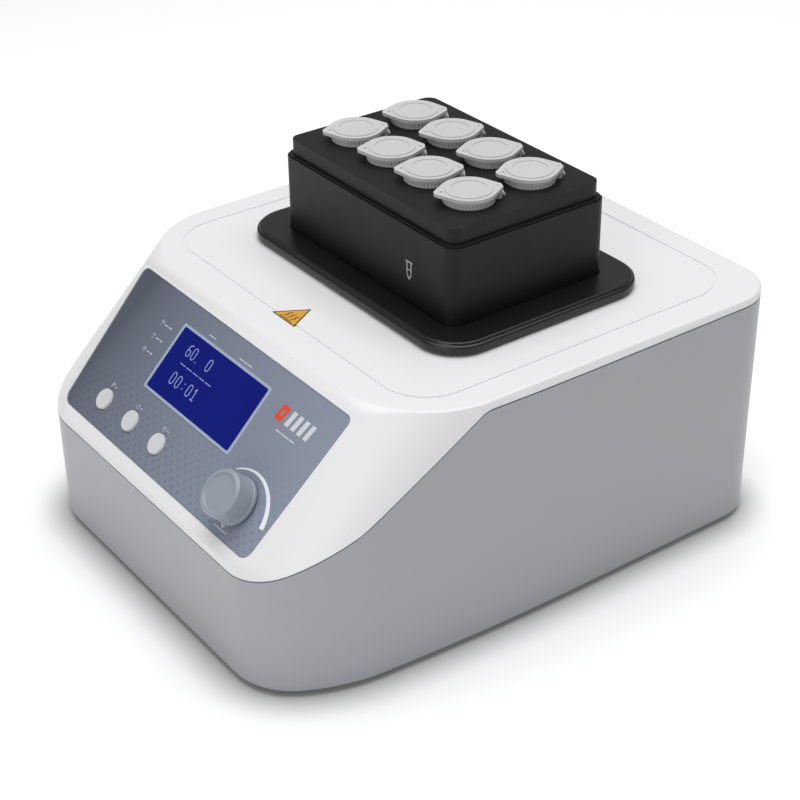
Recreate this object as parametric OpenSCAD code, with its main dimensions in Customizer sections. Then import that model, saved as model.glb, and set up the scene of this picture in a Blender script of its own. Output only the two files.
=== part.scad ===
/* [Body] */
// Overall width of the instrument
body_w = 220; // [200:1:240]
// Overall depth of the instrument
body_d = 260.4; // [240:0.2:280]
// Height of the deck above the underside of the housing
deck_h = 111.7; // [105:0.1:120]
// Height of the rubber feet
foot_h = 3.5; // [2:0.5:6]
// Wall thickness of the two plastic shells
wall = 2.6; // [2:0.1:3.5]
// Height at which the sloping panel leaves the front wall
panel_start_z = 54.4; // [48:0.2:60]
// Tilt of the control panel from the horizontal
panel_tilt = 45; // [40:1:50]
// Height of the parting line between the two shells at the back
parting_z = 108.3; // [106:0.1:109]
// Height of the parting line at the front wall
parting_front_z = 51; // [45:0.2:53]
// Open line left between the two shells
reveal = 0.7; // [0.4:0.1:1]

/* [Control panel] */
// Half width of the membrane overlay at its lower edge
overlay_low = 76.4; // [70:0.1:80]
// Half width of the membrane overlay at its upper edge
overlay_high = 80.7; // [70:0.1:84]
// Length of the overlay up the slope
overlay_len = 69.7; // [65:0.1:71]
// Width of the display window
lcd_w = 69.8; // [60:0.1:75]
// Height of the display window up the slope
lcd_h = 32.8; // [28:0.1:36]
// Diameter of the three keys
button_d = 9.7; // [8:0.1:11]
// Distance between neighbouring keys
button_pitch = 22.8; // [18:0.1:26]
// Travel of a key
button_travel = 0.8; // [0.4:0.1:1.2]
// Diameter of the control knob
knob_d = 20.4; // [18:0.1:24]
// Height of the control knob above the panel
knob_h = 12; // [9:0.5:15]

/* [Heating block] */
// Width of the block
block_w = 123.6; // [118:0.2:128]
// Depth of the block
block_d = 83.5; // [80:0.1:88]
// Height of the shoulder above the housing underside
shoulder_z = 152.5; // [145:0.5:158]
// Height of the block's top above the housing underside
block_top_z = 160.4; // [155:0.1:165]
// Distance of the block's centre behind the middle of the body
block_y = 27.75; // [20:0.25:35]
// Number of tubes across the width
tube_columns = 4; // [2:1:4]
// Distance between tubes across the width
tube_pitch_x = 26.9; // [26:0.1:27.5]
// Distance between tubes front to back
tube_pitch_y = 32.6; // [31:0.1:34]

/* [Mixing drive] */
// Radius of the circle that the block is driven round
orbit_r = 1.5; // [1:0.1:2]
// Radius of the motor shaft
shaft_r = 4; // [3:0.5:5]
// Radial clearance of running fits
running = 0.05; // [0.03:0.01:0.08]

/* [Hidden] */

white = [0.93, 0.93, 0.94];
grey = [0.6, 0.62, 0.64];
slate = [0.4, 0.43, 0.49];
black = [0.08, 0.08, 0.09];
steel = [0.72, 0.73, 0.75];
aluminium = [0.78, 0.79, 0.8];
board_green = [0.1, 0.35, 0.2];
key_grey = [0.87, 0.87, 0.89];
polypropylene = [0.86, 0.88, 0.9];

eps = 0.01;
half_w = body_w / 2;
half_d = body_d / 2;

// Plan outline of the body: slightly bowed sides that tighten into the front corners
rear_corner_r = 22.4;
side_bow_r = 1150;
front_blend_r = 80;
front_corner_r = 30;
bow_end = 5;
blend_end = 31;
front_corner_y = -half_d + front_corner_r;
blend_y = front_corner_y + (front_blend_r - front_corner_r) * sin(blend_end);
bow_y = blend_y + (side_bow_r - front_blend_r) * sin(bow_end);
bow_x = half_w - side_bow_r;
blend_x = bow_x + (side_bow_r - front_blend_r) * cos(bow_end);
front_corner_x = blend_x + (front_blend_r - front_corner_r) * cos(blend_end);

function arc(cx, cy, r, a0, a1, steps) =
    [for (i = [0:steps]) let(a = a0 + (a1 - a0) * i / steps) [cx + r * cos(a), cy + r * sin(a)]];
function mirrored(points) = [for (i = [len(points) - 1:-1:0]) [-points[i][0], points[i][1]]];
function front_half(inset) = concat(
    arc(bow_x, bow_y, side_bow_r - inset, 0, -bow_end, 4),
    arc(blend_x, blend_y, front_blend_r - inset, -bow_end - 4, -blend_end, 6),
    arc(front_corner_x, front_corner_y, front_corner_r - inset, -blend_end - 6, -90, 9)
);
function right_half(inset) = concat(
    arc(half_w - rear_corner_r, half_d - rear_corner_r, rear_corner_r - inset, 90, 0, 12),
    front_half(inset)
);
function plan(inset) = concat(right_half(inset), mirrored(right_half(inset)));

// Feet, screws and bosses
foot_r = 8;
foot_x = 82;
foot_y = 80;
case_screw_r = 2;
boss_r = 4.5;
boss_spots = [[98, 110], [-98, 110], [96, -20], [-96, -20], [84, -112], [-84, -112]];
ledge_z = 1.7;
ledge_t = 2.6;
plate_t = 1.6;

// Cover shell and the lip that locates it inside the housing
cover_t = wall + 0.5;
lip_gap = 0.3;
lip_t = 1.5;
lip_h = 4;
lip_root = 1.5;

// Front panel
panel_y = -half_d + 3.97;
panel_z = panel_start_z + 3.97 * tan(panel_tilt);
overlay_t = 0.5;
overlay_recess = 0.8;
overlay_low_r = 5;
overlay_high_r = 3;
lcd_x = -1.5;
lcd_s = 43.8;
board_depth = 9;
board_t = 1.6;
button_s = 12.1;
button_x0 = -29.5;
button_rise = 0.7;
key_flange_top = cover_t + 0.1;
key_flange_bottom = key_flange_top + 1.5;
knob_x = 54.2;
knob_s = 16;
knob_gap = 1;
encoder_shaft_r = 3;

// Deck
groove_w = 1.2;
groove_depth = 0.4;
groove_span = [191, 174];
groove_r = 22;
groove_y = 29.5;
opening_w = 131;
opening_d = 92;

// Levels of the heater and drive stack
flange_gap = 0.8;
flange_bottom = deck_h + flange_gap;
flange_top = deck_h + 6.1;
flange_w = 155.2;
flange_d = 111.5;
flange_r = 18.7;
flange_slant = 1.2;
block_bottom = deck_h - 7.2;
plate_h = 8.5;
film_t = 1;
pad_t = 10;
platform_t = 6;
heater_bottom = block_bottom - plate_h;
film_bottom = heater_bottom - film_t;
pad_bottom = film_bottom - pad_t;
platform_bottom = pad_bottom - platform_t;
platform_w = 126;
platform_d = 86;
bracket_top = 54;
bracket_t = 6;
motor_r = 27;
motor_bottom = 12;
idler_x = 46;
idler_y = 30;
idler_journal_r = 3.5;
idler_pin_r = 3;
bearing_r = 13;
bearing_h = 9;
pin_r = 5;
bearing_bottom = platform_bottom - 4;
hub_bottom = bracket_top + 1;
hub_top = bearing_bottom - 1;

// Tubes
tube_r = 8.4;
well_r = 8.75;
tube_wall = 1;
tube_depth = 50;
collar_r = 10.6;
collar_t = 1.8;
cap_r = 12;
cap_t = 3.6;
cap_gap = 0.1;
hinge_x = 14.5;
hinge_r = 0.55;
strap_w = 5;
lid_t = 1.6;
cap_turns = [67, 59, 56, 68, 59, 68, 67, 69];

module on_feet() { translate([0, 0, foot_h]) children(); }
module at_block() { translate([0, block_y, foot_h]) children(); }
module at_drive() { translate([-orbit_r, block_y, foot_h]) children(); }
module on_panel() {
    translate([0, panel_y, panel_z + foot_h]) rotate([panel_tilt, 0, 0]) children();
}
module rounded_box(w, d, z0, z1, r) {
    translate([0, 0, z0]) linear_extrude(z1 - z0) {
        square([w - 2 * r, d], center = true);
        square([w, d - 2 * r], center = true);
        for (x = [-1, 1], y = [-1, 1]) translate([x * (w / 2 - r), y * (d / 2 - r)]) circle(r, $fn = 64);
    }
}
module pillar(r, z0, z1) { translate([0, 0, z0]) cylinder(h = z1 - z0, r = r, $fn = 48); }

// Outline of the deck, whose front corners are wider arcs than the plan's
deck_corner_r = 43.5;
deck_corner_x = 65.2;
deck_front_y = panel_y + (deck_h - panel_z) / tan(panel_tilt);
function deck_half(inset) = concat(
    arc(half_w - rear_corner_r, half_d - rear_corner_r, rear_corner_r - inset, 90, 0, 12),
    arc(deck_corner_x, deck_front_y + deck_corner_r, deck_corner_r - inset, 0, -90, 14)
);
function deck_plan(inset) = concat(deck_half(inset), mirrored(deck_half(inset)));
panel_border = 2;
panel_toe = [70, -5.5];
function panel_half(inset) = [
    [overlay_high + panel_border - inset, overlay_len + 1.6],
    [overlay_low + panel_border - inset, 0.5],
    [panel_toe[0] - inset, panel_toe[1] + inset * tan(panel_tilt / 2) + inset * 0.01]
];

// Solid envelope of the whole body, inset evenly from the outer surface, with the deck's edge rounded
slab_t = 0.1;
deck_edge_r = 1.5;
module envelope(inset) {
    hull() {
        difference() {
            linear_extrude(deck_h) polygon(plan(inset));
            above_parting(inset + slab_t);
        }
        for (a = [0:30:90]) translate([0, 0, deck_h - inset - slab_t - deck_edge_r * (1 - sin(a))])
            linear_extrude(slab_t) polygon(deck_plan(inset + deck_edge_r * (1 - cos(a))));
        translate([0, panel_y, panel_z]) rotate([panel_tilt, 0, 0]) translate([0, 0, -inset - slab_t])
            linear_extrude(slab_t) polygon(concat(panel_half(inset), mirrored(panel_half(inset))));
    }
}

// Side outline of the parting surface, seen along the width
parting_knee_y = -29.3;
parting_knee_r = 10;
parting_slope = 32.8;
parting_bend_y = -90.8;
function knee(drop) = [for (a = [90:-8:90 - parting_slope])
    [parting_knee_y - parting_knee_r * cos(a), parting_z - drop + parting_knee_r * (sin(a) - 1)]];
module above_parting(drop) {
    k = knee(drop);
    last = k[len(k) - 1];
    bend_z = last[1] - (last[0] - parting_bend_y) * tan(parting_slope);
    front_slope = (bend_z - parting_front_z + drop) / (parting_bend_y + half_d);
    rotate([90, 0, 90]) translate([0, 0, -body_w]) linear_extrude(2 * body_w) polygon(concat(
        [[body_d, parting_z - drop]], k,
        [[parting_bend_y, bend_z], [-body_d, bend_z - front_slope * (body_d + parting_bend_y)]],
        [[-body_d, 2 * deck_h], [body_d, 2 * deck_h]]
    ));
}

module at_bosses() { for (s = boss_spots) translate([s[0], s[1], 0]) children(); }
module lower_housing() {
    color(grey) on_feet() difference() {
        union() {
            difference() {
                linear_extrude(deck_h) polygon(plan(0));
                translate([0, 0, -1]) linear_extrude(deck_h + 2) polygon(plan(wall));
                above_parting(reveal);
            }
            difference() {
                translate([0, 0, ledge_z]) linear_extrude(ledge_t) polygon(plan(wall - eps));
                translate([0, 0, ledge_z - 1]) linear_extrude(ledge_t + 2) polygon(plan(wall + 9));
            }
            at_bosses() pillar(boss_r + 1.5, ledge_z, ledge_z + ledge_t);
            inlet_wall();
        }
        at_bosses() pillar(case_screw_r + 0.2, 0, 2 * ledge_z + ledge_t);
        inlet_cutouts();
    }
}

// Rear power entry: a shallow recess with two apertures
inlet_x = -46;
switch_x = -10;
entry_z = 34;
recess_depth = 2.4;
module inlet_wall() {
    translate([-30, half_d - wall - recess_depth / 2, entry_z])
        cube([74, recess_depth + eps, 44], center = true);
}
module inlet_cutouts() {
    translate([-30, half_d, entry_z]) cube([69, 2 * recess_depth, 38], center = true);
    translate([inlet_x, half_d, entry_z]) cube([28.4, 30, 32], center = true);
    translate([switch_x, half_d, entry_z]) cube([13.4, 30, 19.4], center = true);
}

module groove_edge(grow, z0, z1) {
    rounded_box(groove_span[0] + grow, groove_span[1] + grow, z0, z1, groove_r + grow / 2);
}
module deck_groove() {
    difference() {
        groove_edge(groove_w, deck_h - groove_depth, deck_h + 1);
        groove_edge(-groove_w, deck_h - 1, deck_h + 2);
    }
}
module overlay_outline(z0, z1, gap) {
    lean = atan((overlay_high - overlay_low) / overlay_len);
    low = arc(overlay_low - overlay_low_r, overlay_low_r, overlay_low_r + gap, -90, -lean, 6);
    top_s = overlay_len - overlay_high_r;
    high = arc(overlay_high - overlay_high_r, top_s, overlay_high_r + gap, -lean, 90, 6);
    right = concat(low, high);
    translate([0, 0, z0]) linear_extrude(z1 - z0) polygon(concat(right, mirrored(right)));
}
module board_spots() {
    for (x = [-68, 0, 70], s = [5.5, 65]) translate([x, s, 0]) children();
}

module top_cover() {
    color(white) difference() {
        union() {
            on_feet() difference() {
                intersection() { envelope(0); above_parting(0); }
                envelope(cover_t);
            }
            on_feet() difference() {
                intersection() { envelope(wall + lip_gap); above_parting(lip_h); }
                above_parting(-lip_root);
                envelope(wall + lip_gap + lip_t);
            }
            on_feet() intersection() {
                envelope(wall / 2);
                at_bosses() pillar(boss_r, ledge_z + ledge_t + 0.1, deck_h);
            }
            on_panel() board_spots() pillar(3, -board_depth, -wall);
        }
        on_feet() at_bosses() pillar(1.7, 0, 22);
        on_feet() translate([0, groove_y, 0]) deck_groove();
        at_block() rounded_box(opening_w, opening_d, deck_h - 10, deck_h + 1, 12);
        on_panel() overlay_outline(-overlay_recess, 10, 0.3);
        on_panel() board_spots() pillar(1.2, -board_depth - 1, -wall - 0.3);
        on_panel() translate([lcd_x, lcd_s, -8]) cube([lcd_w + 1, lcd_h + 1, 20], center = true);
        on_panel() for (i = [1:3]) button_at(i) pillar(button_d / 2 + 0.3, -7, 1);
        on_panel() translate([knob_x, knob_s, 0]) pillar(4.2, -7, 1);
    }
}

module base_plate() {
    color(steel) on_feet() difference() {
        linear_extrude(plate_t) polygon(plan(wall + 0.4));
        at_bosses() pillar(case_screw_r + 0.2, -1, plate_t + 1);
        for (x = [-1, 1], y = [-1, 1]) translate([x * foot_x, y * foot_y, 0]) pillar(1.7, -1, plate_t + 1);
        for (i = [-5:5]) translate([i * 8, -85, 0]) cube([3, 24, 8], center = true);
        for (i = [-5:5]) translate([i * 8, 98, 0]) cube([3, 24, 8], center = true);
    }
}
module screw(r, head_r, head_h, length) {
    translate([0, 0, -head_h]) difference() {
        cylinder(h = head_h, r = head_r, $fn = 32);
        translate([0, 0, -1]) cylinder(h = head_h * 0.6 + 1, r = head_r * 0.45, $fn = 6);
    }
    cylinder(h = length, r = r, $fn = 24);
}
module case_screws() {
    color(steel) on_feet() at_bosses() translate([0, 0, -0.1]) screw(1.65, 3.2, 2, 16);
}
module foot_at(i) {
    translate([foot_x * (i % 2 == 0 ? 1 : -1), foot_y * (i > 2 ? 1 : -1), 0]) children();
}
module rubber_feet() {
    color(black) for (i = [1:4]) foot_at(i) rotate_extrude($fn = 64)
        polygon([
            [1.8, 1.5], [3.6, 1.5], [3.6, 0], [foot_r - 0.8, 0],
            [foot_r, 1], [foot_r + 0.6, foot_h], [1.8, foot_h]
        ]);
}
module foot_screws() {
    color(steel) for (i = [1:4]) foot_at(i) translate([0, 0, 1.4]) screw(1.6, 3.2, 1.2, 6);
}

module lcd_opening(z0, z1, gap) {
    translate([lcd_x, lcd_s, 0]) rounded_box(lcd_w + 2 * gap, lcd_h + 2 * gap, z0, z1, 1.2);
}
module button_at(i) { translate([button_x0 + button_pitch * (i - 2), button_s, 0]) children(); }
module panel_overlay() {
    color(slate) on_panel() difference() {
        overlay_outline(-overlay_recess, -overlay_recess + overlay_t, 0);
        lcd_opening(-2, 2, 0.1);
        for (i = [1:3]) button_at(i) pillar(button_d / 2 + 0.25, -2, 2);
        translate([knob_x, knob_s, 0]) pillar(4.2, -2, 2);
    }
}
module lcd_window() {
    color([0.1, 0.15, 0.5]) on_panel() lcd_opening(-1.6, -0.3, 0);
}
module lcd_module() {
    color(steel) on_panel() difference() {
        translate([lcd_x, lcd_s, -5.35]) cube([lcd_w - 1, lcd_h - 1, 7.3], center = true);
        translate([lcd_x, lcd_s, -1.7]) cube([lcd_w - 5, lcd_h - 5, 1], center = true);
    }
}
module control_board() {
    color(board_green) on_panel() difference() {
        translate([-73, 1, -board_depth - board_t]) cube([148, 67.5, board_t]);
        board_spots() pillar(1.6, -board_depth - 3, -board_depth + 1);
        translate([knob_x, knob_s, 0]) pillar(2, -board_depth - 3, -board_depth + 1);
    }
}
module board_screws() {
    color(steel) on_panel() board_spots()
        translate([0, 0, -board_depth - board_t]) screw(1.15, 2.6, 1.6, 6);
}
function key_switch_h() = board_depth - key_flange_bottom - button_travel - 0.2;
module key_switches() {
    color(black) on_panel() for (i = [1:3]) button_at(i)
        translate([-3, -3, -board_depth]) cube([6, 6, key_switch_h()]);
}
module button(i) {
    color(key_grey) on_panel() button_at(i) {
        pillar(button_d / 2, -key_flange_top - 0.1, button_rise - 0.4);
        pillar(button_d / 2 - 0.4, button_rise - 0.5, button_rise);
        pillar(button_d / 2 + 1.2, -key_flange_bottom, -key_flange_top);
    }
}
module at_knob() { on_panel() translate([knob_x, knob_s, 0]) children(); }
module encoder_body() {
    color(steel) at_knob() difference() {
        union() {
            translate([-6, -6.5, -board_depth]) cube([12, 13, 4.3]);
            pillar(3.9, -board_depth + 4.2, -0.2);
        }
        pillar(encoder_shaft_r + running, -board_depth + 3, 1);
        pillar(4.4, -board_depth + 1, -board_depth + 3.5);
    }
}
module encoder_plunger() {
    color(black) at_knob() pillar(4, -board_depth + 1.7, -board_depth + 2.7);
}
module encoder_shaft() {
    color(steel) at_knob() pillar(encoder_shaft_r, -board_depth + 2.8, knob_h - 3);
}
module knob() {
    color([0.58, 0.61, 0.64]) at_knob() difference() {
        rotate_extrude($fn = 96) polygon([
            [0, knob_gap], [knob_d / 2 + 0.3, knob_gap], [knob_d / 2 + 0.3, knob_gap + 1.2],
            [knob_d / 2, knob_gap + 1.6], [knob_d / 2, knob_h - 1], [knob_d / 2 - 1, knob_h],
            [knob_d / 2 - 2, knob_h], [knob_d / 2 - 2.6, knob_h - 0.7], [0, knob_h - 1]
        ]);
        pillar(encoder_shaft_r + 0.01, 0, knob_h - 2.9);
        difference() {
            pillar(knob_d / 2 - 2, 0, knob_h - 4);
            pillar(5, -1, knob_h);
        }
    }
}

// Electronics under the panel
board_z = 12;
board_pos = [-76, -104];
board_size = [100, 62];
module board_corners() {
    for (x = [4, board_size[0] - 4], y = [4, board_size[1] - 4])
        translate([board_pos[0] + x, board_pos[1] + y, 0]) children();
}
module main_board() {
    color(board_green) on_feet() {
        difference() {
            translate([board_pos[0], board_pos[1], board_z]) cube([board_size[0], board_size[1], board_t]);
            board_corners() pillar(1.6, board_z - 1, board_z + 3);
        }
        translate([board_pos[0] + 12, board_pos[1] + 14, board_z + board_t - eps]) cube([14, 14, 2]);
        translate([board_pos[0] + 34, board_pos[1] + 40, board_z + board_t - eps]) cube([20, 14, 15]);
        translate([board_pos[0] + 62, board_pos[1] + 42, board_z + board_t - eps]) cube([30, 8, 9]);
        for (i = [0:2]) translate([board_pos[0] + 40 + 13 * i, board_pos[1] + 18, 0])
            pillar(5, board_z + board_t - eps, board_z + 18);
    }
}
module board_standoffs() {
    color(steel) on_feet() board_corners() {
        pillar(3, plate_t, board_z);
        pillar(1.5, board_z - 1, board_z + board_t + 1);
        pillar(2.8, board_z + board_t, board_z + board_t + 1.8);
    }
}
module power_supply() {
    color(aluminium) on_feet() difference() {
        translate([32, -104, plate_t]) cube([48, 66, 28]);
        for (i = [0:6]) translate([36, -100 + 8.5 * i, plate_t + 20]) cube([40, 3, 12]);
    }
}
// Mixing drive
module idler_spots() {
    for (x = [-1, 1], y = [-1, 1]) translate([x * idler_x, y * idler_y, 0]) children();
}
module motor_bracket() {
    color(steel) at_drive() difference() {
        union() {
            rounded_box(116, 84, bracket_top - bracket_t, bracket_top, 8);
            for (x = [-1, 1]) translate([x * 54 - 2, -42, plate_t]) cube([4, 84, bracket_top - plate_t - 1]);
            for (x = [-1, 1]) translate([x * 59 - 7, -42, plate_t]) cube([14, 84, 3]);
            idler_spots() pillar(7, bracket_top - 16, bracket_top - 1);
        }
        pillar(13, bracket_top - bracket_t - 1, bracket_top + 1);
        idler_spots() pillar(idler_journal_r + running, bracket_top - 17, bracket_top + 1);
        for (x = [-1, 1]) translate([x * 54, 0, 26]) cube([10, 52, 26], center = true);
    }
}
module motor() {
    color(black) at_drive() difference() {
        union() {
            pillar(motor_r, motor_bottom, bracket_top - bracket_t - 4);
            pillar(motor_r - 6, bracket_top - bracket_t - 4.5, bracket_top - bracket_t);
            pillar(12.5, bracket_top - bracket_t - 1, bracket_top - 2);
        }
        pillar(shaft_r + running, motor_bottom + 2, bracket_top + 1);
    }
}
module motor_shaft() {
    color(steel) at_drive() pillar(shaft_r, motor_bottom + 3, hub_top - 2);
}
module eccentric() {
    color(steel) at_drive() difference() {
        union() {
            pillar(11, hub_bottom, hub_top);
            translate([orbit_r, 0, 0]) pillar(pin_r, hub_top - 1, platform_bottom + 3);
            intersection() {
                pillar(31, hub_bottom, hub_bottom + 8);
                translate([-40, -16, hub_bottom - 1]) cube([40, 32, 20]);
            }
        }
        pillar(shaft_r + 0.01, hub_bottom - 1, hub_top - 1.9);
    }
}
module drive_bearing() {
    color(aluminium) at_drive() translate([orbit_r, 0, 0]) difference() {
        pillar(bearing_r, bearing_bottom, bearing_bottom + bearing_h);
        pillar(pin_r + running, bearing_bottom - 1, bearing_bottom + bearing_h + 1);
    }
}
module idler_at(i) {
    translate([idler_x * (i % 2 == 0 ? 1 : -1), idler_y * (i > 2 ? 1 : -1), 0]) children();
}
module idler(i) {
    color(steel) at_drive() idler_at(i) {
        pillar(idler_journal_r, bracket_top - 15, bracket_top + 1.5);
        pillar(7, bracket_top + 1, bracket_top + 6);
        translate([orbit_r, 0, 0]) pillar(idler_pin_r, bracket_top + 5, platform_bottom + 4);
    }
}
module shaker_platform() {
    color(aluminium) at_drive() translate([orbit_r, 0, 0]) difference() {
        union() {
            rounded_box(platform_w, platform_d, platform_bottom, platform_bottom + platform_t, 8);
            pillar(bearing_r + 4, bearing_bottom, platform_bottom + 1);
            idler_spots() pillar(6.5, platform_bottom - 8, platform_bottom + 1);
        }
        pillar(bearing_r, bearing_bottom - 1, bearing_bottom + bearing_h);
        pillar(pin_r + 1, bearing_bottom, platform_bottom + platform_t + 1);
        idler_spots() pillar(idler_pin_r + running, platform_bottom - 9, platform_bottom + 5);
        standoff_spots() pillar(1.7, platform_bottom - 1, platform_bottom + platform_t + 1);
    }
}
module standoff_spots() {
    for (x = [-1, 1], y = [-1, 1]) translate([x * 56, y * 36, 0]) children();
}

// Heater stack, carried by the platform
module insulation_pad() {
    color([0.9, 0.88, 0.8]) at_block() difference() {
        rounded_box(platform_w - 4, platform_d - 4, pad_bottom, film_bottom, 8);
        standoff_spots() pillar(1.7, pad_bottom - 1, film_bottom + 1);
    }
}
module heater_film() {
    color([0.75, 0.45, 0.15]) at_block() difference() {
        rounded_box(platform_w - 8, platform_d - 8, film_bottom, heater_bottom, 8);
        standoff_spots() pillar(1.7, film_bottom - 1, heater_bottom + 1);
    }
}
module heater_plate() {
    color(aluminium) at_block() difference() {
        rounded_box(platform_w - 2, platform_d - 2, heater_bottom, block_bottom, 8);
        standoff_spots() pillar(1.3, heater_bottom - 1, heater_bottom + 6);
        translate([30, 60, heater_bottom + 4.2]) rotate([90, 0, 0]) cylinder(h = 60, r = 2.05, $fn = 32);
    }
}
module heater_screws() {
    color(steel) at_block() standoff_spots()
        translate([0, 0, platform_bottom]) screw(1.25, 2.8, 1.8, platform_t + pad_t + film_t + 5);
}
module temperature_probe() {
    color(steel) at_block() translate([30, 46, heater_bottom + 4.2]) rotate([90, 0, 0]) {
        cylinder(h = 40, r = 2, $fn = 32);
        cylinder(h = 3.5, r = 3, $fn = 32);
    }
}

// Heating block
module tube_at(i) {
    column = (i - 1) % tube_columns;
    row = floor((i - 1) / tube_columns);
    translate([(column - (tube_columns - 1) / 2) * tube_pitch_x, (row - 0.5) * tube_pitch_y, 0]) children();
}
module heating_block() {
    color(black) at_block() difference() {
        union() {
            rounded_box(block_w - 6, block_d - 6, block_bottom, flange_bottom + 1, 6);
            rounded_box(block_w, block_d, flange_bottom, shoulder_z, 6);
            rounded_box(block_w - 1.6, block_d - 1.6, shoulder_z - 1, shoulder_z + 0.9, 5.5);
            rounded_box(block_w - 4.4, block_d - 4.2, shoulder_z, block_top_z, 5);
        }
        for (i = [1:2 * tube_columns]) tube_at(i) {
            pillar(well_r, block_top_z - 38, block_top_z + 1);
            translate([0, 0, block_top_z - 52.5]) cylinder(h = 14.6, r1 = 3.6, r2 = well_r, $fn = 64);
        }
    }
}
module block_flange() {
    color(black) at_block() difference() {
        union() {
            rounded_box(flange_w, flange_d, flange_bottom, flange_top - 1.4, flange_r);
            rounded_box(
                flange_w - 2 * flange_slant, flange_d - 2 * flange_slant,
                flange_top - 1.5, flange_top, flange_r - flange_slant
            );
        }
        rounded_box(block_w + 0.2, block_d + 0.2, flange_bottom - 1, flange_top + 1, 6.1);
    }
}

// Tubes with hinged caps
module tube_frame(i) {
    at_block() tube_at(i) translate([0, 0, block_top_z]) rotate([0, 0, cap_turns[i - 1]]) children();
}
module tube(i) {
    color(polypropylene) tube_frame(i) {
        rotate_extrude($fn = 96) polygon([
            [0, -tube_depth], [2.6, -tube_depth], [tube_r, -37],
            [tube_r, 0], [collar_r, 0], [collar_r, collar_t],
            [tube_r - tube_wall + 0.2, collar_t], [tube_r - tube_wall, -3], [tube_r - tube_wall, -36.5],
            [1.8, -tube_depth + 1.2], [0, -tube_depth + 1.2]
        ]);
        translate([collar_r - 1, -strap_w / 2, 0]) cube([hinge_x - 0.9 - collar_r + 1, strap_w, collar_t]);
    }
}
module lid_outline() {
    circle(cap_r, $fn = 96);
    polygon([
        [9.2, 7.7], [14.3, 1.6], [14.3, -1.6], [9.2, -7.7],
        [-9.2, -7.7], [-14, -2.1], [-14.9, -0.9], [-14.9, 0.9], [-14, 2.1], [-9.2, 7.7]
    ]);
}
module cap(i) {
    color(polypropylene) tube_frame(i) translate([0, 0, collar_t + cap_gap]) {
        pillar(cap_r - 0.9, 0, cap_t - lid_t);
        translate([0, 0, cap_t - lid_t - 0.4]) linear_extrude(lid_t - 0.1) lid_outline();
        difference() {
            pillar(10.2, cap_t - 0.6, cap_t);
            pillar(7.6, cap_t - 0.4, cap_t + 1);
        }
        difference() {
            pillar(7.1, -2.8, 0.5);
            pillar(6.1, -3.8, -0.2);
        }
        translate([cap_r - 2, -strap_w / 2, 0]) cube([hinge_x - cap_r + 2, strap_w, 1]);
        translate([hinge_x, strap_w / 2, -cap_gap / 2]) rotate([90, 0, 0])
            cylinder(h = strap_w, r = hinge_r, $fn = 32);
    }
}

// Rear power entry
module at_rear(x) { translate([x, half_d - recess_depth, entry_z + foot_h]) children(); }
module power_inlet() {
    color(black) at_rear(inlet_x) difference() {
        union() {
            translate([-15, 0, -18]) cube([30, 2, 36]);
            translate([-14, -24, -15.8]) cube([28, 24 + eps, 31.6]);
        }
        translate([-12, -16, -14]) cube([24, 20, 17]);
        translate([-8.2, -17, 6]) cube([16.4, 20, 8]);
    }
}
module inlet_pins() {
    color(steel) at_rear(inlet_x) {
        for (x = [-7, 7]) translate([x - 1, -16, -7.5]) cube([2, 15, 4]);
        translate([-1, -16, -3.5]) cube([2, 16, 4]);
    }
}
module fuse_drawer() {
    color(black) at_rear(inlet_x) {
        translate([-8, -16.8, 6.2]) cube([16, 18, 7.6]);
        translate([-8, 1, 6.2]) cube([16, 1.2, 7.6]);
    }
}
rocker_tilt = 7;
pivot_y = -3.4;
pivot_r = 1.2;
module switch_frame() {
    color(black) at_rear(switch_x) difference() {
        union() {
            translate([-7.5, 0, -10.5]) cube([15, 1.8, 21]);
            translate([-6.6, -16, -9.6]) cube([13.2, 16 + eps, 19.2]);
        }
        translate([-5, -10, -8.6]) cube([10, 14, 17.2]);
        translate([-6, pivot_y, 0]) rotate([0, 90, 0]) cylinder(h = 12, r = pivot_r + running, $fn = 32);
    }
}
module power_rocker() {
    color(black) at_rear(switch_x) translate([0, pivot_y, 0]) rotate([rocker_tilt, 0, 0]) {
        translate([-4.8, -3.6, 0]) rotate([90, 0, 90]) linear_extrude(9.6)
            polygon([[0, -7], [5.2, -7.6], [3.8, 0], [5.2, 7.6], [0, 7]]);
        translate([-5.8, 0, 0]) rotate([0, 90, 0]) cylinder(h = 11.6, r = pivot_r, $fn = 32);
    }
}

lower_housing();
top_cover();
base_plate();
case_screws();
foot_screws();
rubber_feet();
panel_overlay();
lcd_window();
lcd_module();
control_board();
board_screws();
key_switches();
for (i = [1:3]) button(i);
knob();
encoder_body();
encoder_plunger();
encoder_shaft();
main_board();
board_standoffs();
power_supply();
motor_bracket();
motor();
motor_shaft();
eccentric();
drive_bearing();
shaker_platform();
for (i = [1:4]) idler(i);
insulation_pad();
heater_film();
heater_plate();
heater_screws();
temperature_probe();
heating_block();
block_flange();
power_inlet();
inlet_pins();
fuse_drawer();
switch_frame();
power_rocker();
for (i = [1:8]) tube(i);
for (i = [1:8]) cap(i);
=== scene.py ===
import math

import bpy
from mathutils import Matrix, Vector


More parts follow.
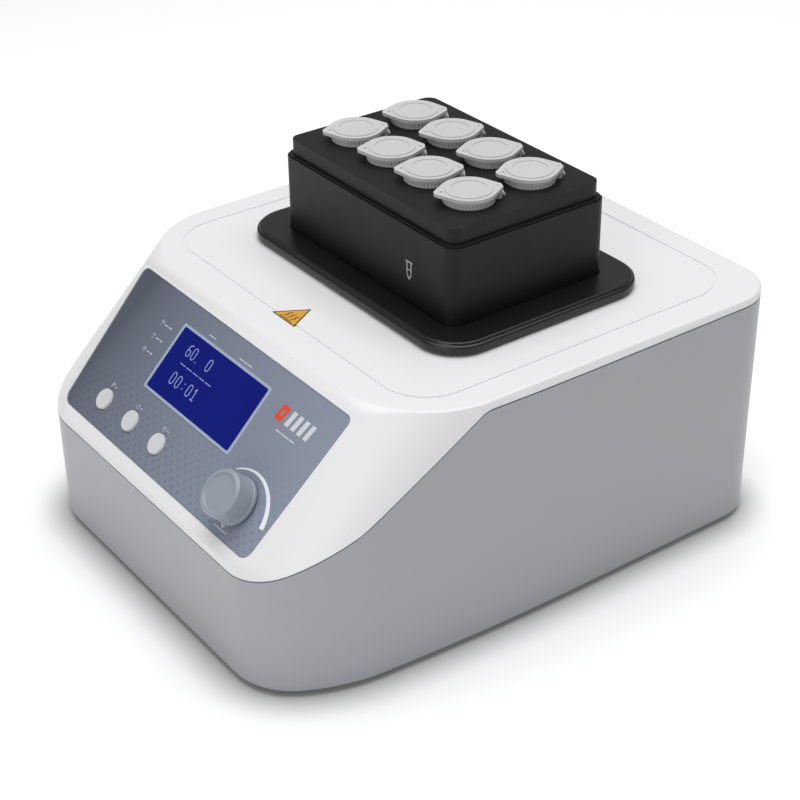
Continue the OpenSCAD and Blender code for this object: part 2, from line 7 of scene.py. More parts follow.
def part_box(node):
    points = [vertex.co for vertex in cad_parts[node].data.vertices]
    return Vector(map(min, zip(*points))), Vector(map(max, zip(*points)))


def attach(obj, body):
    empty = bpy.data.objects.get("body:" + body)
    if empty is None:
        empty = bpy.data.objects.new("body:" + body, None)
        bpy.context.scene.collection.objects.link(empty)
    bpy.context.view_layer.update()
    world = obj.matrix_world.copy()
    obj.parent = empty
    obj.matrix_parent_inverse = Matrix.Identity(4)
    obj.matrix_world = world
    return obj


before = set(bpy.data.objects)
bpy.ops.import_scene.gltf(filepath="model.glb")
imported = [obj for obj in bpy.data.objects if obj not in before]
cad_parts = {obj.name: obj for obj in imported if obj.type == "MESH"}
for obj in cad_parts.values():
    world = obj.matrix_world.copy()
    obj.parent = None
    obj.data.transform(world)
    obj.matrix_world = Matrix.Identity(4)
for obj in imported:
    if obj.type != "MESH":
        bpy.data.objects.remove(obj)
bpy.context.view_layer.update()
scene = bpy.context.scene
MM = 0.001
SLOPE = math.radians(45)


# ---------------------------------------------------------------- places worked out from the frame
OVERLAY_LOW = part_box("panel_overlay")[0]
UP_SLOPE = Vector((0, math.cos(SLOPE), math.sin(SLOPE)))
OUTWARD = Vector((0, -math.sin(SLOPE), math.cos(SLOPE)))
OVERLAY_T = 0.5 * MM
PANEL_FACE = Vector((0, OVERLAY_LOW.y, OVERLAY_LOW.z + OVERLAY_T * math.cos(SLOPE)))


def on_panel(height=0.0):
    """Matrix with X across the panel, Y up its slope and Z out of it, from the overlay's lower edge."""
    across = Vector((1, 0, 0))
    axes = Matrix((across, UP_SLOPE, OUTWARD)).transposed().to_4x4()
    return Matrix.Translation(PANEL_FACE + OUTWARD * height) @ axes


# ---------------------------------------------------------------- materials
def new_material(name):
    material = bpy.data.materials.new(name)
    material.use_nodes = True
    nodes = material.node_tree.nodes
    shader = nodes["Principled BSDF"]
    return material, nodes, material.node_tree.links, shader


def noise(nodes, links, scale, detail=3.0, roughness=0.5, stretch=(1, 1, 1)):
    """A noise texture in object metres, with `scale` cells to the metre."""
    place = nodes.new("ShaderNodeTexCoord")
    mapping = nodes.new("ShaderNodeMapping")
    mapping.inputs["Scale"].default_value = stretch
    texture = nodes.new("ShaderNodeTexNoise")
    texture.inputs["Scale"].default_value = scale
    texture.inputs["Detail"].default_value = detail
    texture.inputs["Roughness"].default_value = roughness
    links.new(place.outputs["Object"], mapping.inputs["Vector"])
    links.new(mapping.outputs["Vector"], texture.inputs["Vector"])
    return texture.outputs["Fac"]


def ramp(nodes, links, source, low, high, start=0.3, end=0.7):
    """Maps a 0 to 1 value onto a colour that runs from low to high."""
    node = nodes.new("ShaderNodeValToRGB")
    node.color_ramp.elements[0].position = start
    node.color_ramp.elements[1].position = end
    node.color_ramp.elements[0].color = (*low, 1)
    node.color_ramp.elements[1].color = (*high, 1)
    links.new(source, node.inputs["Fac"])
    return node.outputs["Color"]


def span(nodes, links, source, low, high):
    """Maps a 0 to 1 value onto the range low to high."""
    node = nodes.new("ShaderNodeMapRange")
    node.inputs["To Min"].default_value = low
    node.inputs["To Max"].default_value = high
    links.new(source, node.inputs["Value"])
    return node.outputs["Result"]


def bump(nodes, links, source, shader, strength, distance):
    node = nodes.new("ShaderNodeBump")
    node.inputs["Strength"].default_value = strength
    node.inputs["Distance"].default_value = distance
    links.new(source, node.inputs["Height"])
    links.new(node.outputs["Normal"], shader.inputs["Normal"])


def plastic(name, colour, roughness=0.4, variation=0.03, grain=2500, grain_depth=0.00002, coat=0.0):
    """Moulded plastic: a fine moulded grain, slight cloudiness of colour and uneven sheen."""
    material, nodes, links, shader = new_material(name)
    low = tuple(c * (1 - variation) for c in colour)
    high = tuple(min(1, c * (1 + variation)) for c in colour)
    links.new(ramp(nodes, links, noise(nodes, links, 9, 2), low, high), shader.inputs["Base Color"])
    sheen = noise(nodes, links, 60, 4)
    links.new(span(nodes, links, sheen, roughness * 0.88, roughness * 1.12), shader.inputs["Roughness"])
    bump(nodes, links, noise(nodes, links, grain, 2), shader, 0.25, grain_depth)
    shader.inputs["Coat Weight"].default_value = coat
    shader.inputs["Coat Roughness"].default_value = 0.15
    return material


def metal(name, colour, roughness=0.35, stretch=(1, 60, 1), scratch=220):
    """Metal with fine drawn lines along one direction."""
    material, nodes, links, shader = new_material(name)
    lines = noise(nodes, links, scratch, 5, 0.6, stretch)
    low = tuple(c * 0.9 for c in colour)
    links.new(ramp(nodes, links, lines, low, colour), shader.inputs["Base Color"])
    links.new(span(nodes, links, lines, roughness * 0.75, roughness * 1.25), shader.inputs["Roughness"])
    bump(nodes, links, lines, shader, 0.2, 0.00002)
    shader.inputs["Metallic"].default_value = 1.0
    return material


WHITE_COVER = plastic("white_cover", (0.77, 0.77, 0.78), 0.42, 0.01, 1800, 0.000012, coat=0.1)
GREY_HOUSING = plastic("grey_housing", (0.348, 0.362, 0.39), 0.35, 0.015, 2200, 0.00003)
BLACK_PLASTIC = plastic("black_plastic", (0.018, 0.018, 0.02), 0.42, 0.1)
FLANGE_BLACK = plastic("flange_black", (0.006, 0.006, 0.006), 0.32, 0.1, 1500, 0.00001, coat=0.05)
KEY_GREY = plastic("key_grey", (0.6, 0.61, 0.63), 0.45, 0.02)
KNOB_GREY = plastic("knob_grey", (0.275, 0.308, 0.355), 0.42, 0.03)
RUBBER = plastic("rubber", (0.02, 0.02, 0.02), 0.75, 0.15, 900, 0.00006)
CAP_PLASTIC = plastic("cap_plastic", (0.56, 0.56, 0.565), 0.38, 0.04, 700, 0.00003, coat=0.1)
BOARD = plastic("board", (0.012, 0.09, 0.035), 0.4, 0.2, 500, 0.00003, coat=0.3)
FELT = plastic("felt", (0.72, 0.69, 0.6), 0.9, 0.12, 700, 0.0003)
FILM = plastic("film", (0.42, 0.17, 0.03), 0.3, 0.1, 300, 0.00002, coat=0.4)
STEEL = metal("steel", (0.62, 0.63, 0.65))
ALUMINIUM = metal("aluminium", (0.8, 0.81, 0.82), 0.3, (60, 1, 1))


def block_anodised():
    """Black anodised aluminium: a matt bead-blasted skin with a soft sheen."""
    material, nodes, links, shader = new_material("black_anodised")
    tone = ramp(nodes, links, noise(nodes, links, 25, 3), (0.005, 0.005, 0.005), (0.008, 0.008, 0.008))
    links.new(tone, shader.inputs["Base Color"])
    links.new(span(nodes, links, noise(nodes, links, 120, 4), 0.38, 0.52), shader.inputs["Roughness"])
    bump(nodes, links, noise(nodes, links, 3500, 2), shader, 0.3, 0.00003)
    shader.inputs["Specular IOR Level"].default_value = 0.26
    return material


BLOCK_BLACK = block_anodised()


def math_node(nodes, links, operation, first, second=None, third=None, clamp=False):
    """One maths step; each input is a socket or a number."""
    node = nodes.new("ShaderNodeMath")
    node.operation = operation
    node.use_clamp = clamp
    for place, value in enumerate((first, second, third)):
        if isinstance(value, (int, float)):
            node.inputs[place].default_value = value
        elif value is not None:
            links.new(value, node.inputs[place])
    return node.outputs["Value"]


def mixed(nodes, links, factor, low, high):
    """Blends two colours, each a socket or a tuple."""
    node = nodes.new("ShaderNodeMix")
    node.data_type = "RGBA"
    links.new(factor, node.inputs["Factor"])
    for name, value in (("A", low), ("B", high)):
        socket = next(i for i in node.inputs if i.name == name and i.type == "RGBA")
        if isinstance(value, tuple):
            socket.default_value = (*value, 1)
        else:
            links.new(value, socket)
    return next(o for o in node.outputs if o.type == "RGBA")


OVERLAY_LEFT = (0.072, 0.085, 0.113)
OVERLAY_RIGHT = (0.24, 0.275, 0.35)
TONE_WIDTH = 158 * MM
DOT_PITCH = 5.2 * MM
DOT_SHADE = 0.62
DOT_EDGE = 9.0
DOT_REACH = 2.3
DOT_FADE = 14.0
DOT_STRENGTH = 0.62


def overlay_print():
    """The panel's printed film: a slate tone that lightens to the right, with a diamond of darker dots."""
    material, nodes, links, shader = new_material("overlay_print")
    place = nodes.new("ShaderNodeTexCoord")
    across = nodes.new("ShaderNodeSeparateXYZ")
    links.new(place.outputs["Object"], across.inputs["Vector"])
    x, y, z = (across.outputs[i] for i in range(3))
    up = math_node(nodes, links, "MULTIPLY", math_node(nodes, links, "ADD", y, z), math.sqrt(0.5))
    low_edge = (PANEL_FACE.y + PANEL_FACE.z) * math.sqrt(0.5)
    height = math_node(nodes, links, "SUBTRACT", up, low_edge)
    share = math_node(nodes, links, "MULTIPLY_ADD", x, 1 / TONE_WIDTH, 0.5)
    share = math_node(nodes, links, "MULTIPLY_ADD", height, -1.0, share, clamp=True)
    share = math_node(nodes, links, "POWER", share, 0.6)
    tone = mixed(nodes, links, share, OVERLAY_LEFT, OVERLAY_RIGHT)
    diagonal = []
    for sign in (1, -1):
        line = math_node(nodes, links, "MULTIPLY_ADD", height, sign, x)
        cell = math_node(nodes, links, "FRACT", math_node(nodes, links, "MULTIPLY", line, 1 / DOT_PITCH))
        offset = math_node(nodes, links, "SUBTRACT", cell, 0.5)
        diagonal.append(math_node(nodes, links, "MULTIPLY", offset, offset))
    spread = math_node(nodes, links, "SQRT", math_node(nodes, links, "ADD", *diagonal))
    dot = math_node(nodes, links, "MULTIPLY_ADD", spread, -DOT_EDGE, DOT_REACH, clamp=True)
    fade = math_node(nodes, links, "MULTIPLY_ADD", height, -DOT_FADE, DOT_STRENGTH, clamp=True)
    dot = math_node(nodes, links, "MULTIPLY", dot, fade)
    dark_left, dark_right = (tuple(c * DOT_SHADE for c in end) for end in (OVERLAY_LEFT, OVERLAY_RIGHT))
    dark = mixed(nodes, links, share, dark_left, dark_right)
    links.new(mixed(nodes, links, dot, tone, dark), shader.inputs["Base Color"])
    links.new(span(nodes, links, noise(nodes, links, 80, 4), 0.42, 0.52), shader.inputs["Roughness"])
    bump(nodes, links, noise(nodes, links, 2600, 2), shader, 0.2, 0.00001)
    return material


def lcd_glass():
    """A backlit blue display behind a clear window: most of its colour is its own light."""
    material, nodes, links, shader = new_material("lcd_glass")
    cloud = noise(nodes, links, 30, 2)
    base = ramp(nodes, links, cloud, (0.001, 0.002, 0.03), (0.0012, 0.0025, 0.035))
    glow = ramp(nodes, links, cloud, (0.002, 0.006, 0.135), (0.0025, 0.007, 0.15))
    links.new(base, shader.inputs["Base Color"])
    links.new(glow, shader.inputs["Emission Color"])
    shader.inputs["Emission Strength"].default_value = 1.0
    links.new(span(nodes, links, noise(nodes, links, 300, 3), 0.35, 0.42), shader.inputs["Roughness"])
    shader.inputs["Specular IOR Level"].default_value = 0.1
    return material


def repaint(material, *nodes):
    for node in nodes:
        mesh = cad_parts[node].data
        mesh.materials.clear()
        mesh.materials.append(material)


KEYS = [f"button_{i}" for i in range(1, 4)]
CRANKS = [f"idler_{i}" for i in range(1, 5)]
TUBES = [f"tube_{i}" for i in range(1, 9)]
CAPS = [f"cap_{i}" for i in range(1, 9)]
repaint(WHITE_COVER, "top_cover")
repaint(GREY_HOUSING, "lower_housing")
repaint(KEY_GREY, *KEYS)
repaint(KNOB_GREY, "knob")
repaint(BLACK_PLASTIC, "power_inlet", "fuse_drawer", "switch_frame", "power_rocker", "motor")
repaint(BLACK_PLASTIC, "key_switches", "encoder_plunger", "lcd_module")
repaint(FLANGE_BLACK, "block_flange")
repaint(BLOCK_BLACK, "heating_block")
repaint(RUBBER, "rubber_feet")
repaint(BOARD, "control_board", "main_board")
repaint(FELT, "insulation_pad")
repaint(FILM, "heater_film")
repaint(STEEL, "base_plate", "case_screws", "foot_screws", "board_screws", "board_standoffs")
repaint(STEEL, "encoder_body", "encoder_shaft", "motor_bracket", "motor_shaft", "eccentric")
repaint(STEEL, "drive_bearing", "heater_screws", "temperature_probe", "inlet_pins", *CRANKS)
repaint(ALUMINIUM, "power_supply", "shaker_platform", "heater_plate")
repaint(CAP_PLASTIC, *TUBES, *CAPS)
repaint(overlay_print(), "panel_overlay")
repaint(lcd_glass(), "lcd_window")


# ---------------------------------------------------------------- softened edges
SMOOTH_BELOW = math.radians(33)
ROUND_ABOVE = math.radians(42)
WELD_DISTANCE = 0.005 * MM


def smooth_by_angle():
    """A node group that shades everything smooth, apart from edges that turn by more than the angle."""
    group = bpy.data.node_groups.new("smooth_by_angle", "GeometryNodeTree")
    group.interface.new_socket("Geometry", in_out="INPUT", socket_type="NodeSocketGeometry")
    group.interface.new_socket("Geometry", in_out="OUTPUT", socket_type="NodeSocketGeometry")
    nodes, links = group.nodes, group.links
    start, end = nodes.new("NodeGroupInput"), nodes.new("NodeGroupOutput")
    faces, edges = nodes.new("GeometryNodeSetShadeSmooth"), nodes.new("GeometryNodeSetShadeSmooth")
    edges.domain = "EDGE"
    edges.inputs["Shade Smooth"].default_value = False
    angle, compare = nodes.new("GeometryNodeInputMeshEdgeAngle"), nodes.new("FunctionNodeCompare")
    compare.operation = "GREATER_THAN"
    compare.inputs["B"].default_value = SMOOTH_BELOW
    links.new(angle.outputs["Unsigned Angle"], compare.inputs["A"])
    links.new(start.outputs["Geometry"], faces.inputs["Geometry"])
    links.new(faces.outputs["Geometry"], edges.inputs["Geometry"])
    links.new(compare.outputs["Result"], edges.inputs["Selection"])
    links.new(edges.outputs["Geometry"], end.inputs["Geometry"])
    return group


SMOOTH = smooth_by_angle()


def soften(radius, *nodes, segments=3):
    """Rounds the sharp edges of CAD nodes by `radius` millimetres and shades them smooth."""
    for node in nodes:
        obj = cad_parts[node]
        kept = obj.data.attributes.get("custom_normal")
        if kept:
            obj.data.attributes.remove(kept)
        weld = obj.modifiers.new("weld", "WELD")
        weld.merge_threshold = WELD_DISTANCE
        bevel = obj.modifiers.new("round", "BEVEL")
        bevel.width = radius * MM
        bevel.segments = segments
        bevel.limit_method = "ANGLE"
        bevel.angle_limit = ROUND_ABOVE
        bevel.miter_outer = "MITER_ARC"
        finish = obj.modifiers.new("smooth", "NODES")
        finish.node_group = SMOOTH
        flat = obj.modifiers.new("flat", "WEIGHTED_NORMAL")
        flat.keep_sharp = True


soften(0.25, "top_cover", segments=2)
soften(0.4, "lower_housing", segments=2)
soften(0.9, "heating_block")
soften(0.9, "block_flange")
soften(0.35, "knob", *KEYS)
soften(0.3, *CAPS, *TUBES, segments=2)
soften(0.3, "power_inlet", "switch_frame", "power_rocker", "fuse_drawer", segments=2)
soften(0.15, "panel_overlay", "lcd_window", segments=1)
soften(0.5, "rubber_feet", segments=2)


# ---------------------------------------------------------------- mesh helpers
def mesh_piece(name, verts, faces, material, body, place):
    """A mesh object in the row frame that rides on a CAD body."""
    mesh = bpy.data.meshes.new(name)
    mesh.from_pydata([place @ Vector(v) for v in verts], [], faces)
    mesh.materials.append(material)
    mesh.update()
    obj = bpy.data.objects.new(name, mesh)
    scene.collection.objects.link(obj)
    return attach(obj, body)


def prism(outline, thickness):
    """Vertices and faces of an upright prism over an outline of (x, y) points that runs anticlockwise."""
    count = len(outline)
    verts = [(x, y, z) for z in (0.0, thickness) for x, y in outline]
    faces = [tuple(range(count - 1, -1, -1)), tuple(range(count, 2 * count))]
    faces += [(i, (i + 1) % count, count + (i + 1) % count, count + i) for i in range(count)]
    return verts, faces


def band(inner, outer, thickness):
    """A flat ring between two closed outlines with the same number of points."""
    count = len(inner)
    verts = [(x, y, z) for z in (0.0, thickness) for loop in (inner, outer) for x, y in loop]
    faces = []
    for i in range(count):
        j = (i + 1) % count
        faces.append((2 * count + i, 3 * count + i, 3 * count + j, 2 * count + j))
        faces.append((i, j, count + j, count + i))
        faces.append((count + i, count + j, 3 * count + j, 3 * count + i))
        faces.append((i, 2 * count + i, 2 * count + j, j))
    return verts, faces


def lift(verts, height):
    return [(x, y, z + height) for x, y, z in verts]


def joined(parts):
    """One vertex and face list from several."""
    verts, faces = [], []
    for part_verts, part_faces in parts:
        start = len(verts)
        verts += part_verts
        faces += [tuple(start + i for i in face) for face in part_faces]
    return verts, faces


def scaled(part, factor):
    verts, faces = part
    return [tuple(c * factor for c in v) for v in verts], faces


def arc_points(cx, cy, radius, start, end, steps):
    angles = [math.radians(start + (end - start) * i / steps) for i in range(steps + 1)]
    return [(cx + radius * math.cos(a), cy + radius * math.sin(a)) for a in angles]


def rounded_rectangle(cx, cy, width, height, radius, steps=6):
    points = []
    corners = ((1, -1, -90), (1, 1, 0), (-1, 1, 90), (-1, -1, 180))
    for sx, sy, start in corners:
        points += arc_points(cx + sx * (width / 2 - radius), cy + sy * (height / 2 - radius), radius,
                             start, start + 90, steps)
    return points


INK = 0.04


def bar(x0, y0, x1, y1, width):
    """A straight stroke with round ends."""
    turn = math.degrees(math.atan2(y1 - y0, x1 - x0))
    outline = arc_points(x1, y1, width / 2, turn - 90, turn + 90, 5)
    outline += arc_points(x0, y0, width / 2, turn + 90, turn + 270, 5)
    return prism(outline, INK)


def path(points, width):
    """Strokes that follow a list of points."""
    return joined([bar(*a, *b, width) for a, b in zip(points, points[1:])])


def ring(cx, cy, radius, width, start=0, end=360, steps=28):
    return path(arc_points(cx, cy, radius, start, end, steps), width)


def polygon(points):
    return prism(points, INK)


# ---------------------------------------------------------------- panel print
# Panel marks are laid out in millimetres, x from the middle line and y up the slope from the lower edge.
PRINT_LIFT = 0.02 * MM
PRINT_WHITE = plastic("print_white", (0.6, 0.63, 0.68), 0.5, 0.04, 900, 0.00001)
FRAME_PRINT = plastic("frame_print", (0.33, 0.39, 0.5), 0.45, 0.04, 900, 0.00001)
RED_PRINT = plastic("red_print", (0.72, 0.06, 0.03), 0.5, 0.05, 900, 0.00001)
SEGMENT_LIGHT = plastic("segment_light", (0.26, 0.33, 0.66), 0.5, 0.03)


def panel_print(name, parts, material, lift=PRINT_LIFT):
    verts, faces = scaled(joined(parts), MM)
    return mesh_piece(name, verts, faces, material, "housing", on_panel(lift))


def thermometer(x, y):
    return [ring(x, y - 0.7, 0.45, 0.28), bar(x, y - 0.2, x, y + 1.2, 0.45),
            bar(x + 0.9, y + 0.9, x + 1.6, y + 0.9, 0.3), bar(x + 0.9, y + 0.2, x + 1.4, y + 0.2, 0.3)]


def clock(x, y):
    return [ring(x, y, 1.0, 0.32), bar(x, y, x, y + 0.6, 0.28), bar(x, y, x + 0.45, y - 0.2, 0.28)]


def turning(x, y):
    head = [(x + 0.35, y + 0.35), (x + 1.25, y + 0.2), (x + 1.0, y + 1.1)]
    return [ring(x, y, 1.0, 0.32, 40, 320), polygon(head)]


def lines_mark(x, y, widths, pitch=0.9, stroke=0.42):
    """A row of short dashes that stands where a word was."""
    parts = []
    for width in widths:
        parts.append(bar(x, y, x + width, y, stroke))
        x += width + pitch
    return parts


def panel_marks():
    parts = []
    parts += thermometer(-49.3, 54.2) + lines_mark(-46.6, 54.2, (2.2, 2.4))
    parts += turning(-49.3, 47.3) + lines_mark(-46.6, 47.3, (2.2, 1.6))
    parts += clock(-49.3, 40.4) + lines_mark(-46.6, 40.4, (1.4, 1.6))
    parts += lines_mark(-17.9, 62.4, (2.8, 1.0))
    parts += lines_mark(6.4, 62.0, (2.8, 2.0, 2.6))
    parts += thermometer(-53.2, 19.2) + lines_mark(-50.6, 19.2, (0.9,))
    parts += turning(-30.6, 19.2) + lines_mark(-28.2, 19.2, (0.9,))
    parts += clock(-8.0, 19.1) + lines_mark(-5.6, 19.1, (0.9,))
    parts += [bar(50, 3.0, 58.6, 3.0, 0.5), polygon([(52.6, 5.2), (54.3, 3.7), (56.0, 5.2)])]
    panel_print("panel_marks", parts, PRINT_WHITE)


def maker_plate():
    """A plain coloured mark beside the display: a red tile, slanted bars and a row of dashes."""
    tile = [(43.2, 51.4), (48.0, 51.4), (49.2, 58.4), (44.4, 58.4)]
    hole = [(45.3, 53.5), (46.7, 53.5), (47.2, 56.3), (45.8, 56.3)]
    panel_print("badge_tile", [band(hole, tile, INK)], RED_PRINT)
    bars = []
    for x in (50.6, 55.0, 59.4, 63.8):
        bars.append(prism([(x, 51.4), (x + 2.6, 51.4), (x + 3.8, 58.4), (x + 1.2, 58.4)], INK))
    bars += lines_mark(48.5, 48.0, (3.4, 4.6, 3.0), stroke=0.5)
    panel_print("badge_bars", bars, PRINT_WHITE)


def knob_arc():
    """A crescent round the knob that widens as it goes clockwise."""
    cx, cy, steps = 54.5, 9.9, 48
    inner, outer = [], []
    for i in range(steps + 1):
        share = i / steps
        angle = math.radians(128 - 117 * share)
        half = 0.25 + 1.05 * share
        middle_r = 19.9 - 0.75 * share
        inner.append((cx + (middle_r - half) * math.cos(angle), cy + (middle_r - half) * math.sin(angle)))
        outer.append((cx + (middle_r + half) * math.cos(angle), cy + (middle_r + half) * math.sin(angle)))
    outline = inner + outer[::-1]
    panel_print("knob_arc", [prism(outline, INK)], plastic("arc_white", (0.78, 0.8, 0.84), 0.45, 0.02))


# ---------------------------------------------------------------- display
LCD_CENTRE = (-1.25, 43.9)
LCD_VIEW = (66.3, 30.4)
GLYPHS = {
    "0": [[(0.1, 0.15), (0.1, 0.85), (0.3, 1), (0.7, 1), (0.9, 0.85), (0.9, 0.15), (0.7, 0), (0.3, 0),
           (0.1, 0.15)]],
    "1": [[(0.2, 0.8), (0.5, 1), (0.5, 0)], [(0.2, 0), (0.8, 0)]],
    "6": [[(0.8, 1), (0.3, 0.95), (0.1, 0.6), (0.1, 0.15), (0.3, 0), (0.7, 0), (0.9, 0.15), (0.9, 0.4),
           (0.7, 0.55), (0.3, 0.55), (0.1, 0.4)]],
    ":": [[(0.45, 0.72), (0.55, 0.72)], [(0.45, 0.25), (0.55, 0.25)]],
    ".": [[(0.15, 0), (0.25, 0)]],
    " ": [],
}


def digits(text, x, y, height, pitch, width, stroke):
    parts = []
    for place, glyph in enumerate(text):
        for line in GLYPHS[glyph]:
            points = [(x + place * pitch + px * width, y + py * height) for px, py in line]
            parts.append(path(points, stroke))
    return parts


def display():
    frame_outer = rounded_rectangle(*LCD_CENTRE, LCD_VIEW[0] + 3.4, LCD_VIEW[1] + 2.5, 1.2)
    frame_inner = rounded_rectangle(*LCD_CENTRE, *LCD_VIEW, 0.9)
    panel_print("lcd_frame", [band(frame_inner, frame_outer, 0.08)], FRAME_PRINT, 0.0)
    parts = digits("60. 0", -24.6, 49.1, 5.2, 4.0, 3.0, 0.5)
    parts += digits("00:01", -23.6, 35.6, 5.2, 4.4, 3.1, 0.5)
    parts += [bar(-23.4 + 5.1 * i, 45.2, -19.5 + 5.1 * i, 45.2, 0.4) for i in range(5)]
    panel_print("lcd_digits", parts, SEGMENT_LIGHT)


# ---------------------------------------------------------------- deck and block marks
def heat_sign():
    """A plain triangular hot-surface sign: amber, with a dark rim and three rising waves."""
    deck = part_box("top_cover")[1].z
    place = Matrix.Translation((0, 0, deck + PRINT_LIFT))
    left, right, top = (-4.5, -58.7), (12.4, -58.7), (4.0, -44.3)
    cx = (left[0] + right[0] + top[0]) / 3
    cy = (left[1] + right[1] + top[1]) / 3

    def shrunk(share):
        return [(cx + (x - cx) * share, cy + (y - cy) * share) for x, y in (left, right, top)]

    rim = band(shrunk(0.86), shrunk(1.0), 0.06)
    dark = plastic("sign_dark", (0.09, 0.04, 0.015), 0.5, 0.1)
    amber = plastic("sign_amber", (0.72, 0.36, 0.035), 0.45, 0.08)
    verts, faces = scaled(prism(shrunk(0.88), 0.05), MM)
    mesh_piece("sign_face", verts, faces, amber, "housing", place)
    waves = []
    for offset in (-2.6, 0, 2.6):
        x = cx + offset
        waves.append(path([(x - 0.3, -56.3), (x + 0.5, -54.9), (x - 0.3, -53.6), (x + 0.4, -52.3)], 0.62))
    waves.append(bar(cx - 4.2, -57.4, cx + 4.2, -57.4, 0.5))
    verts, faces = scaled(joined([rim] + [(lift(v, 0.03), f) for v, f in waves]), MM)
    mesh_piece("sign_marks", verts, faces, dark, "housing", place)


def block_mark():
    """A small outline of a tube on the block's front face, towards its right end."""
    low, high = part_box("heating_block")
    axes = Matrix(((1, 0, 0), (0, 0, 1), (0, -1, 0))).transposed().to_4x4()
    front = Matrix.Translation((0, low.y - PRINT_LIFT, 0)) @ axes
    x, z = 33.0, high.z / MM - 28.0
    outline = [(x - 1.4, z + 4), (x - 1.4, z - 1.5), (x, z - 4), (x + 1.4, z - 1.5), (x + 1.4, z + 4)]
    rim = bar(x - 2.1, z + 4.2, x + 2.1, z + 4.2, 0.6)
    fill_line = bar(x - 0.9, z + 0.6, x + 0.9, z + 0.6, 0.4)
    parts = [path(outline, 0.55), rim, fill_line]
    verts, faces = scaled(joined(parts), MM)
    mesh_piece("block_mark", verts, faces, plastic("mark_grey", (0.5, 0.5, 0.5), 0.5), "block", front)


# ---------------------------------------------------------------- tube caps
# CAP_TURNS are the headings of the hinges in degrees. Ribs, studs and pits are given in millimetres.
CAP_TURNS = (67, 59, 56, 68, 59, 68, 67, 69)
TUBE_PITCH = (26.9 * MM, 32.6 * MM)
RIBS = 44
RIB_DEPTH = 0.35
HINGE_GAP = 34
LID_FACE = 5.0
STUDS = ((-11.8, 1.3), (12.4, 1.0))
PITS = ((-11.8, 0.55), (12.4, 0.42))


def tube_place(number):
    """Matrix from a tube's own frame, with its X towards the hinge, to the row frame, in metres."""
    low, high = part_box("heating_block")
    column, row = (number - 1) % 4, (number - 1) // 4
    x = (low.x + high.x) / 2 + (column - 1.5) * TUBE_PITCH[0]
    y = (low.y + high.y) / 2 + (row - 0.5) * TUBE_PITCH[1]
    return Matrix.Translation((x, y, high.z)) @ Matrix.Rotation(math.radians(CAP_TURNS[number - 1]), 4, "Z")


def ribbed_ring(inner, outer, depth, low, high, gap):
    """A ring with upright ribs round its outside, left open over `gap` degrees at the hinge."""
    steps = RIBS * 8
    angles = [math.radians(gap / 2 + (360 - gap) * i / steps) for i in range(steps + 1)]
    loops = []
    for z, grow in ((low, -0.2), (low + 0.25, 0), (high - 0.25, 0), (high, -0.2)):
        radii = [outer + grow + depth * (0.5 + 0.5 * math.cos(RIBS * a)) ** 0.7 for a in angles]
        loops.append([(r * math.cos(a), r * math.sin(a), z) for r, a in zip(radii, angles)])
    for z in (high, low):
        loops.append([(inner * math.cos(a), inner * math.sin(a), z) for a in angles])
    size, count, faces = steps + 1, len(loops), []
    for k in range(count):
        a, b = k * size, ((k + 1) % count) * size
        faces += [(a + i, a + i + 1, b + i + 1, b + i) for i in range(steps)]
    faces.append(tuple(k * size for k in reversed(range(count))))
    faces.append(tuple(k * size + steps for k in range(count)))
    return [v for loop in loops for v in loop], faces


def turned(x, profile, steps=24):
    """A small turned stud about (x, 0), from (radius, z) rings, closed at the last one."""
    verts, faces = [], []
    for r, z in profile:
        verts += [(x + r * math.cos(math.tau * i / steps), r * math.sin(math.tau * i / steps), z)
                  for i in range(steps)]
    for k in range(len(profile) - 1):
        a, b = k * steps, (k + 1) * steps
        faces += [(a + i, a + (i + 1) % steps, b + (i + 1) % steps, b + i) for i in range(steps)]
    faces.append(tuple(range(len(verts) - steps, len(verts))))
    return verts, faces


def stud(x, radius):
    """A low dished button on the lid."""
    profile = ((1.0, 0.0), (0.9, 0.14), (0.7, 0.14), (0.45, 0.04))
    return turned(x, [(radius * r, LID_FACE + z) for r, z in profile])


def cap_details():
    """Finger ribs round each collar and cap, the low studs on each lid, and dark discs on each lid painted
    as the shade in its pits.
    """
    shade = plastic("cap_shade", (0.16, 0.16, 0.17), 0.5, 0.1)
    for number in range(1, 9):
        place = tube_place(number)
        skirt = scaled(ribbed_ring(10.4, 10.75, RIB_DEPTH, 0.05, 1.75, HINGE_GAP), MM)
        mesh_piece(f"tube_ribs_{number}", *skirt, CAP_PLASTIC, f"tube_{number}", place)
        skirt = scaled(ribbed_ring(10.9, 11.15, RIB_DEPTH, 1.95, 3.5, HINGE_GAP), MM)
        mesh_piece(f"cap_ribs_{number}", *skirt, CAP_PLASTIC, f"cap_{number}", place)
        studs = scaled(joined([stud(x, r) for x, r in STUDS]), MM)
        mesh_piece(f"cap_studs_{number}", *studs, CAP_PLASTIC, f"cap_{number}", place)
        # Painted shade: thin dark discs lie on the lid where its pits are, instead of real hollows.
        pits = [turned(x, ((r, LID_FACE + 0.05), (r * 0.8, LID_FACE + 0.06))) for x, r in PITS]
        mesh_piece(f"cap_pit_shade_{number}", *scaled(joined(pits), MM), shade, f"cap_{number}", place)


panel_marks()
maker_plate()
knob_arc()
display()
heat_sign()
block_mark()
cap_details()


# ---------------------------------------------------------------- camera
VIEW_AZIMUTH = math.radians(54.09)
VIEW_ELEVATION = math.radians(31.13)
VIEW_ROLL = math.radians(-0.7)
VIEW_DISTANCE = 0.81175
VIEW_TARGET = Vector((0.01084, -0.0027, 0.0635))
SENSOR_WIDTH = 36
FOCAL_LENGTH = 81.51
LENS_SHIFT = (-0.0016, -0.0131)


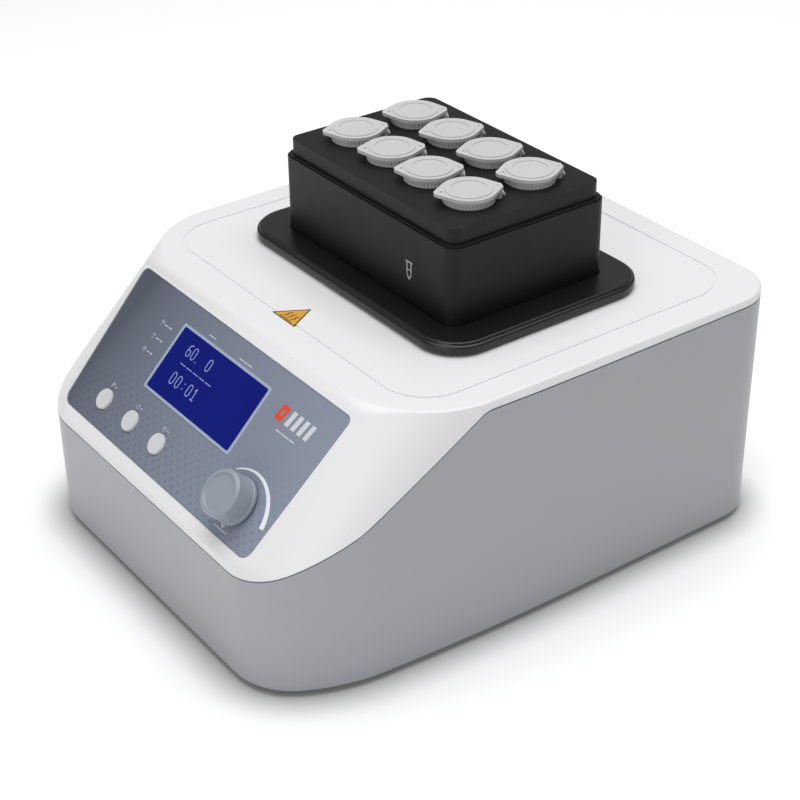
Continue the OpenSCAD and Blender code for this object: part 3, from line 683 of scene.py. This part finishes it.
def photo_camera():
    """The camera fitted to the photograph's straight edges."""
    back = Vector((
        math.sin(VIEW_AZIMUTH) * math.cos(VIEW_ELEVATION),
        -math.cos(VIEW_AZIMUTH) * math.cos(VIEW_ELEVATION),
        math.sin(VIEW_ELEVATION),
    ))
    right = Vector((math.cos(VIEW_AZIMUTH), math.sin(VIEW_AZIMUTH), 0))
    up = back.cross(right)
    c, s = math.cos(VIEW_ROLL), math.sin(VIEW_ROLL)
    axes = Matrix((right * c + up * s, up * c - right * s, back)).transposed().to_4x4()
    data = bpy.data.cameras.new("camera")
    data.sensor_width = SENSOR_WIDTH
    data.lens = FOCAL_LENGTH
    data.shift_x, data.shift_y = LENS_SHIFT
    camera = bpy.data.objects.new("camera", data)
    camera.matrix_world = Matrix.Translation(VIEW_TARGET + back * VIEW_DISTANCE) @ axes
    scene.collection.objects.link(camera)
    scene.camera = camera


photo_camera()


# ---------------------------------------------------------------- floor and light
FLOOR_HALF = 6
FLOOR_GLOW = 0.1
# Reach of the floor's painted contact shadow.
CONTACT_SHADE = 17 * MM
WORLD_LIGHT = 0.3


def floor():
    """A pale floor with a painted contact shadow that darkens it within CONTACT_SHADE of whatever stands on
    it.
    """
    mesh = bpy.data.meshes.new("floor")
    corners = [(x * FLOOR_HALF, y * FLOOR_HALF, 0) for x, y in ((-1, -1), (1, -1), (1, 1), (-1, 1))]
    mesh.from_pydata(corners, [], [(0, 1, 2, 3)])
    obj = bpy.data.objects.new("floor", mesh)
    scene.collection.objects.link(obj)
    material, nodes, links, shader = new_material("floor")
    tone = ramp(nodes, links, noise(nodes, links, 2, 2), (0.94, 0.94, 0.94), (0.96, 0.96, 0.96))
    # Painted contact shadow: ambient occlusion darkens the floor's own colour close to anything standing on
    # it.
    contact_shadow = nodes.new("ShaderNodeAmbientOcclusion")
    contact_shadow.inputs["Distance"].default_value = CONTACT_SHADE
    links.new(tone, contact_shadow.inputs["Color"])
    shade = span(nodes, links, contact_shadow.outputs["AO"], -0.25, 1.0)
    links.new(mixed(nodes, links, shade, (0.02, 0.02, 0.02), tone), shader.inputs["Base Color"])
    shader.inputs["Roughness"].default_value = 0.9
    shader.inputs["Emission Color"].default_value = (1, 1, 1, 1)
    shader.inputs["Emission Strength"].default_value = FLOOR_GLOW
    mesh.materials.append(material)


def area_light(name, place, target, size, power):
    data = bpy.data.lights.new(name, "AREA")
    data.shape = "RECTANGLE"
    data.size, data.size_y = size
    data.energy = power
    obj = bpy.data.objects.new(name, data)
    obj.location = place
    obj.rotation_euler = (Vector(target) - Vector(place)).to_track_quat("-Z", "Y").to_euler()
    scene.collection.objects.link(obj)


floor()
world = bpy.data.worlds.new("studio")
scene.world = world
world.use_nodes = True
world.node_tree.nodes["Background"].inputs["Color"].default_value = (1, 1, 1, 1)
world.node_tree.nodes["Background"].inputs["Strength"].default_value = WORLD_LIGHT
area_light("overhead", (0, 0.15, 1.6), (0, 0, 0), (1.6, 1.6), 24.5)
area_light("front_fill", (0.62, -1.42, 0.75), (0, 0, 0.06), (0.8, 1.2), 6)
scene.view_settings.view_transform = "Standard"
